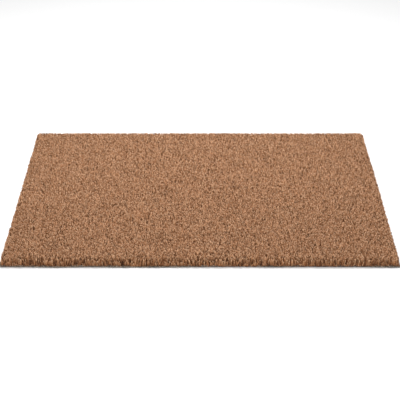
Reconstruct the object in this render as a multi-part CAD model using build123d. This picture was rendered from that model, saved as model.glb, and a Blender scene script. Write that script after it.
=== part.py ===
from build123d import *
import os

# A natural coir door mat: rows of cut coir tufts, their feet set in a sheet of soft PVC.
# Millimetres, +Z up. The origin is the middle of the underside, which lies on the floor.
# X runs along the long side, the way the rows run, and Y from the front edge to the back one.

# Whole mat
mat_length = 600.0
mat_depth = 400.0
mat_thickness = 15.0

# PVC backing
backing_thickness = 2.5
front_lip = 0.3             # bare PVC in front of the first row and behind the last
end_lip = 2.0               # bare PVC past the two ends of the rows
underside_bevel = 0.4       # worn lower arris of the cut edge

# Rows of tufts
row_count = 57
tuft_set_depth = 1.2        # how deep the feet are bedded in the PVC
tuft_foot_width = 5.8       # across the row, where the PVC holds the tufts together
row_gap = 0.4               # between two rows, where they are widest
flare_height = 6.0          # above the feet, where the tufts have spread to their full width
crown_radius = 0.8          # the sheared top's rounded shoulders

# Worked out from the sizes above
pile_length = mat_length - 2 * end_lip
pile_depth = mat_depth - 2 * front_lip
row_pitch = pile_depth / row_count
row_width = row_pitch - row_gap
foot_height = backing_thickness - tuft_set_depth


def row_centre(number):
    """Y of one row's middle, counting from 1 at the front edge."""
    return -pile_depth / 2 + (number - 0.5) * row_pitch


def row_profile():
    """The section across a row: a narrow foot that flares to the full width, and a rounded crown."""
    half_foot = tuft_foot_width / 2
    half_row = row_width / 2
    flare_top = foot_height + flare_height
    shoulder = mat_thickness - crown_radius
    half_crown = half_row - crown_radius
    with BuildSketch(Plane.YZ) as profile:
        with BuildLine():
            Polyline((half_foot, foot_height), (half_row, flare_top), (half_row, shoulder))
            RadiusArc((half_row, shoulder), (half_crown, mat_thickness), -crown_radius)
            Line((half_crown, mat_thickness), (-half_crown, mat_thickness))
            RadiusArc((-half_crown, mat_thickness), (-half_row, shoulder), -crown_radius)
            Polyline(
                (-half_row, shoulder),
                (-half_row, flare_top),
                (-half_foot, foot_height),
                (half_foot, foot_height),
            )
        make_face()
    return profile.sketch


def tuft_row(number, profile):
    """One row of tufts, as the strip that they fill from end to end of the mat."""
    strip = extrude(profile, amount=pile_length / 2, both=True)
    return Pos(0, row_centre(number), 0) * strip


def backing_sheet(rows):
    """The PVC sheet, with a bed pressed into its top by the feet of each row."""
    on_floor = (Align.CENTER, Align.CENTER, Align.MIN)
    sheet = Box(mat_length, mat_depth, backing_thickness, align=on_floor)
    sheet = chamfer(sheet.faces().sort_by(Axis.Z)[0].edges(), underside_bevel)
    return sheet - rows


def write_node(shape, name):
    export_step(shape, f"parts/{name}.step")


os.makedirs("parts", exist_ok=True)
section = row_profile()
rows = [tuft_row(number, section) for number in range(1, row_count + 1)]
for number, row in enumerate(rows, start=1):
    write_node(row, f"tuft_row_{number:02d}")
write_node(backing_sheet(rows), "pvc_backing")
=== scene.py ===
"""A natural coir door mat: rows of cut coir tufts, made of single fibres, in a sheet of soft PVC."""
import math
from collections import namedtuple

import bpy
import numpy as np
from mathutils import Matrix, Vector, noise


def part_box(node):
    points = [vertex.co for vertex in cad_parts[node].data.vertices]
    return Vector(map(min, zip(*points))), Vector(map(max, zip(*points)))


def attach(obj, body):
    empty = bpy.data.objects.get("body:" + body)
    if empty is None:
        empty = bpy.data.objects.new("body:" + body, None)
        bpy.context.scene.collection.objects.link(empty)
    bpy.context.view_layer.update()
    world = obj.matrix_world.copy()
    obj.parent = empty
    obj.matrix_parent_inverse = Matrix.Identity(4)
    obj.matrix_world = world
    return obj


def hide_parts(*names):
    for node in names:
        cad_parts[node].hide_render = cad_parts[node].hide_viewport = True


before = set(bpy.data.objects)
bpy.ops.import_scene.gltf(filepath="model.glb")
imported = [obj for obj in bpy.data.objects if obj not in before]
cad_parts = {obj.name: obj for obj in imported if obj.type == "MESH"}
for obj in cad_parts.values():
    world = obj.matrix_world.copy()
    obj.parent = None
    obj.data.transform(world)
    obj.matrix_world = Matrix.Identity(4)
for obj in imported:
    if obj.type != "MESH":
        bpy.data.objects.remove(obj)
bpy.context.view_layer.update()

BODY = "root"
SHEET = "pvc_backing"
ROWS = sorted(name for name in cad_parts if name.startswith("tuft_row_"))
MM = 0.001

# Where the tufts stand, in metres
TUFT_PITCH = 5.75 * MM          # along a row
TUFT_JITTER = 0.3 * MM          # how unevenly they are set
ROW_STAGGER = 0.25              # how far the rows are moved along, left and right in turn, in tufts
END_JITTER = 0.25 * MM          # how unevenly the rows end
END_BULGE = 1.2 * MM            # how far the line of their ends bulges
BULGES_PER_METRE = 9.0
END_PLACES = (0.3, 7.3)         # where in the noise the left and the right end are read

# Locks are the fibres of a tuft that hang together
LOCKS_ALONG = 3                 # in a tuft
LOCKS_ACROSS = 4
FIBRES_PER_LOCK = 4             # not counting the broken ones
LOCK_JITTER = 0.40 * MM         # how unevenly they stand
LOCK_LEAN = 1.4 * MM            # sideways, from foot to crown
LOCK_RADIUS = 0.80 * MM
LOCK_DOME = 0.5 * MM            # how much lower its rim is than its middle
LOCK_UNEVEN = 0.35 * MM         # how unevenly the locks are shorn
SUNK_SHARE = 0.09               # locks that the shears didn't reach
SUNK_DEPTH = 2.2 * MM           # the most that they are lower
SUNK_LEAST = 0.3                # the least, as a share of that

# Single fibres
LOCK_GATHERING = 0.6            # how they lie about a lock's middle: evenly at 0.5
REACH_GATHERING = 0.3           # the same for how far tips reach
CROWN_RISE = 0.9 * MM           # the longest ones' height over the strips' tops
ROOT_RANGE = (0.2 * MM, 1.0 * MM)   # height of their roots over the strips' undersides
FIBRE_RADIUS = 0.35 * MM
RADIUS_RANGE = (0.75, 1.25)
TIP_TAPER = 0.95                # a fibre's thickness at its cut tip, to that at its root
FIBRE_STRAY = 0.4 * MM          # of a tip from its lock's lie
FIBRE_UNEVEN = 0.3 * MM         # how much shorter than its lock a fibre is
BENT_SHARE = 0.28               # fibres whose tops are bent over
BENT_REACH = 2.3 * MM           # how far their tips are from where they would be
BENT_LIFT = 0.3 * MM            # how far over the crown they lie
BROKEN_PER_LOCK = 1             # fibres that broke off low down, and fill the gaps at the locks' feet
BROKEN_REACH = 3.5 * MM         # how far their tips are from where they would be
BROKEN_DROP = (5.0 * MM, 9.0 * MM)      # how much shorter they are
BEND_LEVELS = (0.0, 0.5, 0.8, 1.0)
BEND_KNEE = 0.15                # how far towards its tip a bent fibre rises straight up
BOW = 0.3 * MM                  # of the fibres at the pile's edges
BOW_LEVELS = 4
LOOSE_PER_ROW = 2               # fibres that have come out, and lie on the crown
LOOSE_LENGTH = (10 * MM, 26 * MM)
LOOSE_RADIUS = 0.18 * MM
LOOSE_BOW = 1.5 * MM
LOOSE_LEVELS = 8

# The pile's edges, where the knife went through the tufts
EDGE_BAND = 2.2 * MM            # how far in from the edge they are different
EDGE_LEAN = 1.2 * MM            # how much more the locks lean
EDGE_DROP = 1.6 * MM            # how much lower the crown is
OVERHANG = 0.6 * MM             # how far tips stand out past the feet
MOST_OVERHANG = 1.8 * MM
SHORTEST_STUB = 0.08            # what is left of a fibre that was cut, at least
CORNER_RADIUS = 4.5 * MM
CUT_PITCH = 0.9 * MM            # between the locks that were cut short, along an edge
CUT_LOWEST = 0.15               # where the knife caught them, as a share of the pile's height
CUT_DEPTH = 1.2 * MM            # how far in from the edge they stand
CUT_LEAN = 2.2 * MM             # along the edge
CUT_ROOTS = (-0.4 * MM, 1.0 * MM)   # height of their roots, as in ROOT_RANGE

# Shades of fibres: 0 is the darkest and 1 the lightest
SHADE = 0.60
LOCK_SHADE = 0.18               # how unlike the locks are
FIBRE_SHADE = 0.46              # how unlike the fibres of a lock are
DEPTH_PAINTED_SHADE = 0.14              # how much darker a fibre is for each mm that it is short: mostly painted shade of the deeper pile, partly less sun-bleaching
CUT_LOCK_SHADE = 0.40
CUT_FIBRE_SHADE = 0.20

# The PVC sheet, in metres
SHEET_STEP = 2.5 * MM           # between the points of its grid
SHEET_EDGE = 0.5 * MM           # how far in a point still belongs to its edge
SHEET_BEVEL = 0.4 * MM          # of its lower edge
SHEET_RAGGED = 0.7 * MM         # how unevenly that is bevelled
SHEET_ROUND = 0.25 * MM         # of its upper edge
SHEET_WANDER = 0.25 * MM        # of its cut edge
SHEET_LUMPS = 0.3 * MM          # on top, where it has crept up the tufts
SHEET_CREEP = 2.0 * MM          # how much more it has crept up along its edges
SHEET_BEAD = 1.2 * MM           # how far it stands out where it has crept up
CREEP_SHARE = 0.25              # the higher it is, the more of the edge has crept up
SHEET_PITS = 0.2 * MM           # below
SHEET_SEED = 7                  # without it the noise would differ from run to run
WANDER_SCALES = ((14.0, 10.0), (90.0, 1.0), (420.0, 0.6))   # waves for each metre, and their share
LUMP_SCALES = ((170.0, 1.0), (500.0, 0.5))

# The fibres' map, and colours
FIBRE_UV = "OFBake"
SHADES = 64                     # columns of the map, darkest first
MAP_MARGIN = 0.02               # left free below a fibre's root and above its tip
COLUMN_CORNERS = (0.1, 0.9, 0.5)    # where in a column the three edges of a fibre are
SIDES = 3                       # of a fibre
PLUMB = 1e-6                    # added to a fibre's lean, so that none has no direction
PILE_SEED = 20
COIR_TONES = [
    (0.0, (0.11, 0.043, 0.014)),
    (0.25, (0.285, 0.128, 0.053)),
    (0.55, (0.477, 0.240, 0.117)),
    (0.85, (0.645, 0.356, 0.194)),
    (1.0, (0.725, 0.468, 0.296)),
]
# Darker towards each fibre's root, along V: partly tannin in the fibre, partly painted shade of the
# deep pile
COIR_ROOT_TANNIN_AND_SHADE = [
    (0.0, (0.42, 0.26, 0.14)),
    (0.6, (0.76, 0.62, 0.48)),
    (0.9, (0.91, 0.87, 0.82)),
    (1.0, (1.0, 1.0, 1.0)),
]
COIR_STAINS = [
    (0.35, (0.80, 0.76, 0.72)),
    (0.60, (1.0, 1.0, 1.0)),
]
DUST_FACING = (0.80, 0.97)      # how far up the sheet faces where dust begins, and where it covers it
COIR_DUST = [
    (0.35, (0.110, 0.055, 0.026)),
    (0.65, (0.300, 0.165, 0.085)),
]
PVC_MOTTLE = [
    (0.36, (0.028, 0.022, 0.018)),
    (0.51, (0.100, 0.082, 0.067)),
    (0.66, (0.340, 0.250, 0.180)),
]
FLOOR_COLOUR = (0.86, 0.86, 0.86, 1.0)

# Grain of the materials: scales are for each metre, or along a fibre
FLECKS_PER_FIBRE = 14.0
FLECK_DETAIL = 3.0
COIR_ROUGHNESS = (0.5, 0.8)
COIR_BUMP = (0.4, 0.1 * MM)     # strength, and height
MOTTLE_SCALE = 500.0
MOTTLE_DETAIL = 4.0
GRAIN_SCALE = 1400.0
GRAIN_DETAIL = 2.0
PVC_ROUGHNESS = (0.45, 0.75)
PVC_BUMP = (0.5, 0.15 * MM)
DULL = 0.3                      # specular level of coir and PVC
FLOOR_ROUGHNESS = 0.9
FLOOR_SPECULAR = 0.1

# Stage, in metres and degrees
FLOOR_SIDE = 12.0
CAMERA_PLACE = (0.0, -1.3971, 0.8688)
CAMERA_DOWN = 32.05             # how far below the horizon it looks
CAMERA_LENS = 88.4              # in mm, as is the width of its frame
FRAME_WIDTH = 36.0


# ---------------------------------------------------------------- node helpers

def new_material(name):
    """A material with its node tree and its Principled shader."""
    material = bpy.data.materials.new(name)
    material.use_nodes = True
    tree = material.node_tree
    return material, tree, tree.nodes["Principled BSDF"]


def add_node(tree, kind, inputs=None, **settings):
    """A node with its settings made, and its inputs set to values or linked to sockets."""
    node = tree.nodes.new(kind)
    for name, value in settings.items():
        setattr(node, name, value)
    for name, value in (inputs or {}).items():
        if isinstance(value, bpy.types.NodeSocket):
            tree.links.new(value, node.inputs[name])
        else:
            node.inputs[name].default_value = value
    return node


def colour_ramp(tree, factor, stops):
    """A colour ramp through (position, colour) stops."""
    node = add_node(tree, "ShaderNodeValToRGB", {"Fac": factor})
    ramp = node.color_ramp
    for position, _ in stops[1:-1]:
        ramp.elements.new(position)
    for element, (position, colour) in zip(ramp.elements, stops):
        element.position = position
        element.color = (*colour, 1.0)
    return node.outputs["Color"]


def mix_colours(tree, factor, first, second, blend="MIX"):
    """Two colour sockets mixed: the second one over the first, or multiplied with it."""
    node = add_node(tree, "ShaderNodeMix", {"Factor": factor}, data_type="RGBA", blend_type=blend)
    tree.links.new(first, node.inputs["A"])
    tree.links.new(second, node.inputs["B"])
    return node.outputs["Result"]


def noise_pattern(tree, place, scale, detail):
    inputs = {"Vector": place, "Scale": scale, "Detail": detail}
    return add_node(tree, "ShaderNodeTexNoise", inputs).outputs["Fac"]


def in_range(tree, value, low, high):
    inputs = {"Value": value, "To Min": low, "To Max": high}
    return add_node(tree, "ShaderNodeMapRange", inputs).outputs["Result"]


def bump(tree, height, strength, distance):
    inputs = {"Height": height, "Strength": strength, "Distance": distance}
    return add_node(tree, "ShaderNodeBump", inputs).outputs["Normal"]


# ---------------------------------------------------------------- materials

def coir_material():
    """Coir: the map's U picks a fibre's shade, and its V is how far along the fibre a point is."""
    material, tree, shader = new_material("coir_fibre")
    uv = add_node(tree, "ShaderNodeUVMap", uv_map=FIBRE_UV).outputs["UV"]
    parts = add_node(tree, "ShaderNodeSeparateXYZ", {"Vector": uv})
    tone = colour_ramp(tree, parts.outputs["X"], COIR_TONES)
    # painted shade, with some tannin: the fibres darken towards their roots
    root_tannin_and_shade = colour_ramp(tree, parts.outputs["Y"], COIR_ROOT_TANNIN_AND_SHADE)
    scale = (float(SHADES), FLECKS_PER_FIBRE, 1.0)
    along = add_node(tree, "ShaderNodeMapping", {"Vector": uv, "Scale": scale})
    fleck = noise_pattern(tree, along.outputs["Vector"], 1.0, FLECK_DETAIL)
    stain = colour_ramp(tree, fleck, COIR_STAINS)
    tone_darkened_to_roots = mix_colours(tree, 1.0, tone, root_tannin_and_shade, "MULTIPLY")
    colour = mix_colours(tree, 1.0, tone_darkened_to_roots, stain, "MULTIPLY")
    tree.links.new(colour, shader.inputs["Base Color"])
    tree.links.new(in_range(tree, fleck, *COIR_ROUGHNESS), shader.inputs["Roughness"])
    tree.links.new(bump(tree, fleck, *COIR_BUMP), shader.inputs["Normal"])
    shader.inputs["Specular IOR Level"].default_value = DULL
    return material


def pvc_material():
    """Dark grey PVC: dull, mottled, slightly grained, and covered with coir dust on top."""
    material, tree, shader = new_material("pvc_sheet")
    coordinates = add_node(tree, "ShaderNodeTexCoord")
    place = coordinates.outputs["Object"]
    mottle = noise_pattern(tree, place, MOTTLE_SCALE, MOTTLE_DETAIL)
    grain = noise_pattern(tree, place, GRAIN_SCALE, GRAIN_DETAIL)
    facing = add_node(tree, "ShaderNodeSeparateXYZ", {"Vector": coordinates.outputs["Normal"]})
    dust_inputs = {"Value": facing.outputs["Z"], "From Min": DUST_FACING[0], "From Max": DUST_FACING[1]}
    dusty = add_node(tree, "ShaderNodeMapRange", dust_inputs).outputs["Result"]
    clean = colour_ramp(tree, mottle, PVC_MOTTLE)
    dust = colour_ramp(tree, mottle, COIR_DUST)
    tree.links.new(mix_colours(tree, dusty, clean, dust), shader.inputs["Base Color"])
    tree.links.new(in_range(tree, mottle, *PVC_ROUGHNESS), shader.inputs["Roughness"])
    tree.links.new(bump(tree, grain, *PVC_BUMP), shader.inputs["Normal"])
    shader.inputs["Specular IOR Level"].default_value = DULL
    return material


def floor_material():
    material, _, shader = new_material("floor")
    shader.inputs["Base Color"].default_value = FLOOR_COLOUR
    shader.inputs["Roughness"].default_value = FLOOR_ROUGHNESS
    shader.inputs["Specular IOR Level"].default_value = FLOOR_SPECULAR
    return material


# ---------------------------------------------------------------- where fibres stand

Fibres = namedtuple("Fibres", "root tip radius shade")


def fibres_of(root, root_z, tip, tip_z, radius, shade):
    """Fibres from arrays of any one shape: their feet, their tips, thickness and shade."""
    root = np.concatenate([root, root_z[..., None]], axis=-1)
    tip = np.concatenate([tip, tip_z[..., None]], axis=-1)
    shade = np.clip(shade, 0.0, 1.0)
    return Fibres(root.reshape(-1, 3), tip.reshape(-1, 3), radius.ravel(), shade.ravel())


def chosen_fibres(fibres, chosen):
    return Fibres(*(values[chosen] for values in fibres))


def pile_box():
    """The lowest and highest corner of the ground that all the rows stand on."""
    corners = np.array([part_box(node) for node in ROWS])
    return corners[:, 0, :2].min(axis=0), corners[:, 1, :2].max(axis=0)


def row_ends(rng, depth):
    """How far the two ends of the row at this depth are from where they would be."""
    bulge = [noise.noise(Vector((place, depth * BULGES_PER_METRE, 0.0))) for place in END_PLACES]
    return np.array(bulge) * END_BULGE + rng.normal(0.0, END_JITTER, 2)


def disc(rng, shape, gathering):
    """Random points in a disc of radius 1: evenly spread at 0.5, and nearer its middle above that."""
    angle = rng.uniform(0.0, 2 * math.pi, shape)
    distance = rng.uniform(0.0, 1.0, shape) ** gathering
    return np.stack([distance * np.cos(angle), distance * np.sin(angle)], axis=-1)


def tuft_middles(rng, low, high, stagger):
    """The middles of a row's tufts, and the distance between them."""
    length = high.x - low.x
    count = round(length / TUFT_PITCH)
    pitch = length / count
    x = low.x + (np.arange(count) + 0.5 + stagger) * pitch
    middles = np.stack([x, np.full(count, (low.y + high.y) / 2)], axis=1)
    return middles + rng.normal(0.0, TUFT_JITTER, middles.shape), pitch


def lock_grid(pitch, width):
    """The middles of a tuft's locks, round the tuft's own middle."""
    along = (np.arange(LOCKS_ALONG) + 0.5) / LOCKS_ALONG - 0.5
    across = (np.arange(LOCKS_ACROSS) + 0.5) / LOCKS_ACROSS - 0.5
    x, y = np.meshgrid(along * pitch, across * width)
    return np.stack([x.ravel(), y.ravel()], axis=-1)


def edge_nearness(place, low, high):
    """1 at the edge of the pile, and falling to 0 inside it."""
    inset = np.minimum(place - low, high - place).min(axis=-1)
    return np.exp(-np.maximum(inset, 0.0) / EDGE_BAND)


def crowd_outwards(root, low, high):
    """Moves the outermost feet nearer to the pile's very edge, which the knife made."""
    for axis in (0, 1):
        for edge, inward in ((low[axis], 1.0), (high[axis], -1.0)):
            inset = np.maximum((root[..., axis] - edge) * inward, 0.0)
            inset = np.where(inset < EDGE_BAND, inset * inset / EDGE_BAND, inset)
            root[..., axis] = edge + inset * inward


def cut_off(root, tip, tip_z, root_z, low, high):
    """The tips and their heights, after cutting the fibres that lean out past low and high."""
    kept = np.ones(root.shape[:-1])
    for axis in (0, 1):
        lean = tip[..., axis] - root[..., axis]
        room = np.where(lean > 0.0, high[..., axis], low[..., axis]) - root[..., axis]
        leaning_out = np.abs(lean) > np.abs(room)
        share = room / np.where(leaning_out, lean, 1.0)
        kept = np.where(leaning_out, np.minimum(kept, share), kept)
    kept = np.maximum(kept, SHORTEST_STUB)
    return root + (tip - root) * kept[..., None], root_z + (tip_z - root_z) * kept


def round_corners(tip, low, high):
    """Draws in the tips that stand in the corners of the pile."""
    middle = (low + high) / 2
    corner = (high - low) / 2 - CORNER_RADIUS
    out = np.abs(tip - middle) - corner
    distance = np.linalg.norm(out, axis=-1, keepdims=True)
    outside = (out > 0.0).all(axis=-1, keepdims=True) & (distance > CORNER_RADIUS)
    drawn = corner + out * CORNER_RADIUS / np.maximum(distance, CORNER_RADIUS)
    return np.where(outside, middle + np.sign(tip - middle) * drawn, tip)


def overhangs(rng, shape):
    return np.minimum(rng.exponential(OVERHANG, (*shape, 1)), MOST_OVERHANG)


def crown_drops(rng, spread, bent):
    """How much lower than the crown each fibre's tip is: per tuft, lock and fibre."""
    per_lock = (*spread.shape[:2], 1)
    missed = rng.uniform(0.0, 1.0, per_lock) < SUNK_SHARE
    sunk = missed * rng.uniform(SUNK_LEAST, 1.0, per_lock) * SUNK_DEPTH
    uneven = rng.normal(0.0, LOCK_UNEVEN, per_lock) + rng.exponential(FIBRE_UNEVEN, bent.shape)
    rim = (spread ** 2).sum(axis=-1)
    upright = np.maximum(uneven + LOCK_DOME * rim + sunk, 0.0)
    lying = sunk - BENT_LIFT * rng.uniform(0.0, 1.0, bent.shape)
    return np.where(bent, lying, upright)


def row_fibres(rng, low, high, stagger, pile_low, pile_high):
    """The fibres of a row's tufts, and which of them are bent over."""
    tufts, pitch = tuft_middles(rng, low, high, stagger)
    grid = lock_grid(pitch, high.y - low.y)
    per_lock = (len(tufts), len(grid))
    per_fibre = (*per_lock, FIBRES_PER_LOCK + BROKEN_PER_LOCK)
    broken = np.broadcast_to(np.arange(per_fibre[-1]) < BROKEN_PER_LOCK, per_fibre)
    foot = tufts[:, None] + grid + rng.normal(0.0, LOCK_JITTER, (*per_lock, 2))
    lean = LOCK_LEAN + EDGE_LEAN * edge_nearness(foot, pile_low, pile_high)
    crown = foot + lean[..., None] * rng.normal(0.0, 1.0, (*per_lock, 2))

    spread = disc(rng, per_fibre, LOCK_GATHERING)
    root = foot[:, :, None] + spread * LOCK_RADIUS
    tip = crown[:, :, None] + spread * LOCK_RADIUS + rng.normal(0.0, FIBRE_STRAY, spread.shape)
    bent = (rng.uniform(0.0, 1.0, per_fibre) < BENT_SHARE) & ~broken
    reach = BENT_REACH * bent + BROKEN_REACH * broken
    tip = tip + disc(rng, per_fibre, REACH_GATHERING) * reach[..., None]
    crowd_outwards(root, pile_low, pile_high)

    drop = crown_drops(rng, spread, bent)
    droop = EDGE_DROP * edge_nearness(tip, pile_low, pile_high)
    tip_z = high.z + CROWN_RISE - drop - droop - broken * rng.uniform(*BROKEN_DROP, per_fibre)
    root_z = low.z + rng.uniform(*ROOT_RANGE, per_fibre)
    out = overhangs(rng, per_fibre)
    tip, tip_z = cut_off(root, tip, tip_z, root_z, pile_low - out, pile_high + out)
    tip = round_corners(tip, pile_low, pile_high)

    lock_shade = rng.normal(SHADE, LOCK_SHADE, (*per_lock, 1))
    # painted shade: fibres that end lower in the pile are made darker, and those lying over the crown
    # lighter
    shade = lock_shade + rng.normal(0.0, FIBRE_SHADE, per_fibre) - DEPTH_PAINTED_SHADE * drop / MM
    radius = FIBRE_RADIUS * rng.uniform(*RADIUS_RANGE, per_fibre)
    return fibres_of(root, root_z, tip, tip_z, radius, shade), bent.ravel()


def cut_fibres(rng, edge, low, high, pile_low, pile_high):
    """The fibres along one cut edge of a row, which the knife caught at all heights."""
    start, end, outward = (np.array(part) for part in edge)
    length = np.linalg.norm(end - start)
    along = (end - start) / length
    locks = round(length / CUT_PITCH)
    per_lock = (locks, 1)
    per_fibre = (locks, FIBRES_PER_LOCK)
    share = (np.arange(locks)[:, None] + rng.uniform(0.0, 1.0, per_lock)) / locks
    place = start + (end - start) * share
    foot = place - outward * rng.uniform(0.0, CUT_DEPTH, per_lock)
    caught = rng.uniform(CUT_LOWEST, 1.0, per_lock)
    crown = place + along * rng.normal(0.0, CUT_LEAN, per_lock) * caught

    spread = along * rng.normal(0.0, LOCK_RADIUS / 2, (*per_fibre, 1))
    root = foot[:, None] + spread
    tip = crown[:, None] + spread + outward * (overhangs(rng, per_fibre) - OVERHANG)
    tip = round_corners(tip, pile_low, pile_high)
    tip_z = low.z + (high.z - low.z) * caught + rng.normal(0.0, FIBRE_UNEVEN, per_fibre)
    root_z = low.z + rng.uniform(*CUT_ROOTS, per_fibre)
    shade = rng.normal(SHADE, CUT_LOCK_SHADE, per_lock) + rng.normal(0.0, CUT_FIBRE_SHADE, per_fibre)
    radius = FIBRE_RADIUS * rng.uniform(*RADIUS_RANGE, per_fibre)
    return fibres_of(root, root_z, tip, tip_z, radius, shade)


def cut_edges(number, low, high, pile_low, pile_high):
    """The edges of the pile that a row has: where each starts and ends, and which way it faces."""
    left, right = pile_low[0], pile_high[0]
    sheet_low, sheet_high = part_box(SHEET)
    edges = [
        ((left, low.y), (left, high.y), (-1.0, 0.0)),
        ((right, low.y), (right, high.y), (1.0, 0.0)),
    ]
    if number == 0:
        edges.append(((left, sheet_low.y), (right, sheet_low.y), (0.0, -1.0)))
    if number == len(ROWS) - 1:
        edges.append(((left, sheet_high.y), (right, sheet_high.y), (0.0, 1.0)))
    return edges


def loose_fibres(rng, low, high):
    """A few long fibres that lie on the crown."""
    shape = (LOOSE_PER_ROW,)
    length = rng.uniform(*LOOSE_LENGTH, (*shape, 1))
    middle_x = rng.uniform(low.x + LOOSE_LENGTH[1], high.x - LOOSE_LENGTH[1], shape)
    middle = np.stack([middle_x, rng.uniform(low.y, high.y, shape)], axis=-1)
    angle = rng.uniform(0.0, 2 * math.pi, shape)
    reach = np.stack([np.cos(angle), np.sin(angle)], axis=-1) * length / 2
    sheet_low, sheet_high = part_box(SHEET)
    reach[:, 1] = np.clip(reach[:, 1], sheet_low.y - middle[:, 1], sheet_high.y - middle[:, 1])
    height = high.z + CROWN_RISE - rng.uniform(0.0, 2 * BENT_LIFT, (2, *shape))
    radius = np.full(shape, LOOSE_RADIUS)
    shade = rng.uniform(SHADE, 1.0, shape)
    return fibres_of(middle - reach, height[0], middle + reach, height[1], radius, shade)


# ---------------------------------------------------------------- the fibres' meshes

def straight_lines(fibres):
    return np.stack([fibres.root, fibres.tip], axis=1)


def bowed_lines(rng, fibres, levels, bow):
    """Points along fibres that bow sideways by about bow."""
    share = np.linspace(0.0, 1.0, levels)[None, :, None]
    sideways = rng.normal(0.0, bow, (len(fibres.root), 1, 3)) * np.array([1.0, 1.0, 0.0])
    straight = fibres.root[:, None] * (1.0 - share) + fibres.tip[:, None] * share
    arch = 4.0 * share * (1.0 - share)      # 0 at both ends, and 1 halfway
    return straight + sideways * arch


def bent_lines(fibres):
    """Points along fibres that rise and then bend over towards their tips."""
    root, tip = fibres.root[:, None], fibres.tip[:, None]
    knee = root * (1.0 - BEND_KNEE) + tip * BEND_KNEE
    knee[..., 2] = tip[..., 2]
    share = np.array(BEND_LEVELS)[None, :, None]
    return root * (1.0 - share) ** 2 + knee * 2.0 * share * (1.0 - share) + tip * share ** 2


def prism_faces(fibres, levels):
    """The sides and the two ends of prisms, as numbers of their vertices."""
    sides = []
    for level in range(levels - 1):
        low, high = level * SIDES, (level + 1) * SIDES
        for side in range(SIDES):
            after = (side + 1) % SIDES
            sides.append([low + side, high + side, high + after, low + after])
    top = (levels - 1) * SIDES
    ends = [[0, 1, 2], [top + 2, top + 1, top]]
    start = np.arange(fibres)[:, None, None] * SIDES * levels
    return (start + np.array(sides)).reshape(-1, 4), (start + np.array(ends)).reshape(-1, 3)


def prisms(rng, lines, fibres):
    """Closed three-sided prisms along the lines: vertices, sides, ends and the vertices' map."""
    count, levels = lines.shape[:2]
    along = np.gradient(lines, axis=1)
    along /= np.linalg.norm(along, axis=2, keepdims=True)
    over = (lines[:, -1] - lines[:, 0])[:, :2] + PLUMB
    over /= np.linalg.norm(over, axis=1, keepdims=True)
    side_axis = np.stack([-over[:, 1], over[:, 0], np.zeros(count)], axis=1)[:, None]
    front_axis = np.cross(along, side_axis)

    corner = rng.uniform(0.0, 2 * math.pi, (count, 1)) + np.arange(SIDES) * 2 * math.pi / SIDES
    taper = np.linspace(1.0, TIP_TAPER, levels)[None, :, None, None]
    ring = (
        np.cos(corner)[:, None, :, None] * side_axis[:, :, None]
        + np.sin(corner)[:, None, :, None] * front_axis[:, :, None]
    )
    vertices = lines[:, :, None] + ring * fibres.radius[:, None, None, None] * taper

    steps = np.linalg.norm(np.diff(lines, axis=1), axis=2)
    reached = np.concatenate([np.zeros((count, 1)), np.cumsum(steps, axis=1)], axis=1)
    v = MAP_MARGIN + (1.0 - 2 * MAP_MARGIN) * reached / reached[:, -1:]
    column = np.minimum(np.floor(fibres.shade * SHADES), SHADES - 1)
    u = (column[:, None] + np.array(COLUMN_CORNERS)) / SHADES
    uv = np.stack(np.broadcast_arrays(u[:, None], v[:, :, None]), axis=-1)
    sides, ends = prism_faces(count, levels)
    return vertices.reshape(-1, 3), sides, ends, uv.reshape(-1, 2)


def joined_mesh(name, parts):
    """One mesh of several sets of prisms."""
    vertices, sides, ends, uv = zip(*parts)
    offsets = np.cumsum([0] + [len(points) for points in vertices[:-1]])
    vertices = np.concatenate(vertices)
    sides = np.concatenate([faces + offset for faces, offset in zip(sides, offsets)])
    ends = np.concatenate([faces + offset for faces, offset in zip(ends, offsets)])
    uv = np.concatenate(uv)
    loops = np.concatenate([sides.ravel(), ends.ravel()]).astype(np.int32)
    sizes = np.concatenate([np.full(len(sides), 4), np.full(len(ends), 3)])
    starts = np.concatenate([[0], np.cumsum(sizes)[:-1]]).astype(np.int32)

    mesh = bpy.data.meshes.new(name)
    mesh.vertices.add(len(vertices))
    mesh.vertices.foreach_set("co", vertices.astype(np.float32).ravel())
    mesh.loops.add(len(loops))
    mesh.loops.foreach_set("vertex_index", loops)
    mesh.polygons.add(len(sizes))
    mesh.polygons.foreach_set("loop_start", starts)
    mesh.polygons.foreach_set("use_smooth", np.ones(len(sizes), bool))
    mesh.update(calc_edges=True)
    layer = mesh.uv_layers.new(name=FIBRE_UV)
    layer.data.foreach_set("uv", uv[loops].astype(np.float32).ravel())
    return mesh


def add_piece(mesh, material, node):
    """Makes an object of the mesh, in the place of its CAD node."""
    mesh.materials.append(material)
    piece = bpy.data.objects.new(mesh.name, mesh)
    bpy.context.scene.collection.objects.link(piece)
    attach(piece, BODY)
    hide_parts(node)
    return piece


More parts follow.
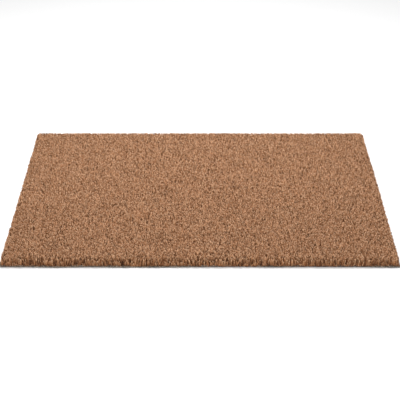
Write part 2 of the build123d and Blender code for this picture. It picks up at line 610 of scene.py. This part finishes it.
def make_row(node, number, material):
    """The fibres of one row, which stand for its CAD strip."""
    rng = np.random.default_rng(PILE_SEED + number)
    low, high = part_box(node)
    ends = row_ends(rng, (low.y + high.y) / 2)
    pile_low, pile_high = pile_box()
    pile_low[0] += ends[0]
    pile_high[0] += ends[1]
    stagger = ROW_STAGGER if number % 2 else -ROW_STAGGER
    fibres, bent = row_fibres(rng, low, high, stagger, pile_low, pile_high)

    outer_row = number in (0, len(ROWS) - 1)
    outer = (np.abs(fibres.root[:, 0]) > high.x - TUFT_PITCH) | outer_row
    inner_upright = chosen_fibres(fibres, ~bent & ~outer)
    outer_upright = chosen_fibres(fibres, ~bent & outer)
    bent_over = chosen_fibres(fibres, bent)
    parts = [prisms(rng, bent_lines(bent_over), bent_over)]
    if not outer_row:
        parts.append(prisms(rng, straight_lines(inner_upright), inner_upright))
    parts.append(prisms(rng, bowed_lines(rng, outer_upright, BOW_LEVELS, BOW), outer_upright))
    for edge in cut_edges(number, low, high, pile_low, pile_high):
        cut = cut_fibres(rng, edge, low, high, pile_low, pile_high)
        parts.append(prisms(rng, bowed_lines(rng, cut, BOW_LEVELS, BOW), cut))
    loose = loose_fibres(rng, low, high)
    parts.append(prisms(rng, bowed_lines(rng, loose, LOOSE_LEVELS, LOOSE_BOW), loose))
    return add_piece(joined_mesh(f"{node}_fibres", parts), material, node)


# ---------------------------------------------------------------- the PVC sheet

def sheet_surface(low, high, inset, height):
    """A grid of points over the sheet at a height, its outermost ones drawn in by an inset."""
    columns = round((high.x - low.x) / SHEET_STEP) + 1
    rows = round((high.y - low.y) / SHEET_STEP) + 1
    x = np.clip(np.linspace(low.x, high.x, columns), low.x + inset, high.x - inset)
    y = np.clip(np.linspace(low.y, high.y, rows), low.y + inset, high.y - inset)
    across, along = np.meshgrid(x, y)
    return np.stack([across, along, np.full(across.shape, height)], axis=-1)


def rim_of(surface):
    """The outermost points of a grid, in order round it."""
    return np.concatenate([surface[0, :-1], surface[:-1, -1], surface[-1, :0:-1], surface[:0:-1, 0]])


def outward_from(place, low, high):
    """Which way is out, for a point at the sheet's edge; and nothing for any other point."""
    outward = Vector((0.0, 0.0))
    for axis in (0, 1):
        if place[axis] < low[axis] + SHEET_EDGE:
            outward[axis] = -1.0
        elif place[axis] > high[axis] - SHEET_EDGE:
            outward[axis] = 1.0
    return outward


def roughen_sheet(vertices, low, high):
    """Makes the cut edge wander, the top lumpy, the lower edge ragged and the underside pitted."""
    middle = (low.z + high.z) / 2
    noise.seed_set(SHEET_SEED)
    for vertex in vertices:
        place = Vector(vertex)
        outward = outward_from(place, low, high)
        drifts = (noise.noise_vector(place * scale) * share for scale, share in WANDER_SCALES)
        lump = sum(noise.noise(place * scale) * share for scale, share in LUMP_SCALES)
        vertex[:2] += np.array(sum(drifts, Vector()).xy) * SHEET_WANDER
        if vertex[2] > middle:
            vertex[2] += lump * SHEET_LUMPS * (vertex[2] - middle) / (high.z - middle)
            crept = max(lump + CREEP_SHARE, 0.0) * min(outward.length, 1.0)
            vertex[2] += crept * SHEET_CREEP
            vertex[:2] += np.array(outward) * crept * SHEET_BEAD
        elif vertex[2] < SHEET_BEVEL / 2:
            vertex[2] += max(lump, 0.0) * SHEET_PITS
        elif vertex[2] < middle:
            vertex[2] = max(vertex[2] + lump * SHEET_RAGGED, SHEET_BEVEL / 2)


def make_sheet(material):
    """The sheet that the tufts stand in: closed, with a cut edge."""
    low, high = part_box(SHEET)
    edge_heights = (low.z + SHEET_BEVEL, (low.z + high.z) / 2, high.z - SHEET_ROUND)
    below = sheet_surface(low, high, SHEET_BEVEL, low.z)
    above = sheet_surface(low, high, SHEET_ROUND, high.z)
    rims = [rim_of(sheet_surface(low, high, 0.0, height)) for height in edge_heights]
    vertices = np.concatenate([below.reshape(-1, 3), above.reshape(-1, 3), *rims])
    roughen_sheet(vertices, low, high)

    number = np.arange(below.shape[0] * below.shape[1]).reshape(below.shape[:2])
    corners = [number[:-1, :-1], number[:-1, 1:], number[1:, 1:], number[1:, :-1]]
    squares = np.stack(corners, axis=-1).reshape(-1, 4)
    faces = [squares[:, ::-1], squares + number.size]
    loops = [rim_of(number)]
    for position, rim in enumerate(rims):
        loops.append(2 * number.size + position * len(rim) + np.arange(len(rim)))
    loops.append(rim_of(number) + number.size)
    for lower, upper in zip(loops, loops[1:]):
        faces.append(np.stack([lower, np.roll(lower, -1), np.roll(upper, -1), upper], axis=-1))
    faces = np.concatenate(faces)

    mesh = bpy.data.meshes.new("pvc_backing_sheet")
    mesh.from_pydata(vertices.tolist(), [], faces.tolist())
    mesh.polygons.foreach_set("use_smooth", np.ones(len(faces), bool))
    return add_piece(mesh, material, SHEET)


# ---------------------------------------------------------------- stage

def make_floor():
    bpy.ops.mesh.primitive_plane_add(size=FLOOR_SIDE)
    floor = bpy.context.object
    floor.name = "floor"
    floor.data.materials.append(floor_material())
    return floor


def make_camera():
    """Square on to the front edge, looking down."""
    data = bpy.data.cameras.new("camera")
    data.lens = CAMERA_LENS
    data.sensor_width = FRAME_WIDTH
    camera = bpy.data.objects.new("camera", data)
    camera.location = CAMERA_PLACE
    camera.rotation_euler = (math.radians(90.0 - CAMERA_DOWN), 0.0, 0.0)
    bpy.context.scene.collection.objects.link(camera)
    bpy.context.scene.camera = camera


def make_area_light(name, place, size, power):
    """A square soft light, aimed at the middle of the mat."""
    data = bpy.data.lights.new(name, "AREA")
    data.shape = "SQUARE"
    data.size = size
    data.energy = power
    light = bpy.data.objects.new(name, data)
    light.location = place
    light.rotation_euler = (-light.location).to_track_quat("-Z", "Y").to_euler()
    bpy.context.scene.collection.objects.link(light)


def make_world(strength):
    world = bpy.data.worlds.new("studio")
    world.use_nodes = True
    background = world.node_tree.nodes["Background"]
    background.inputs["Color"].default_value = (1.0, 1.0, 1.0, 1.0)
    background.inputs["Strength"].default_value = strength
    bpy.context.scene.world = world


make_camera()
ground = make_floor()
make_world(strength=0.70)
make_area_light("key", place=(-0.03, 0.13, 1.05), size=0.5, power=12.5)
make_area_light("fill", place=(-0.45, -1.6, 0.8), size=1.2, power=9.0)
bpy.context.scene.view_settings.view_transform = "Standard"

sheet = make_sheet(pvc_material())
coir = coir_material()
pile = [make_row(row_node, row_number, coir) for row_number, row_node in enumerate(ROWS)]
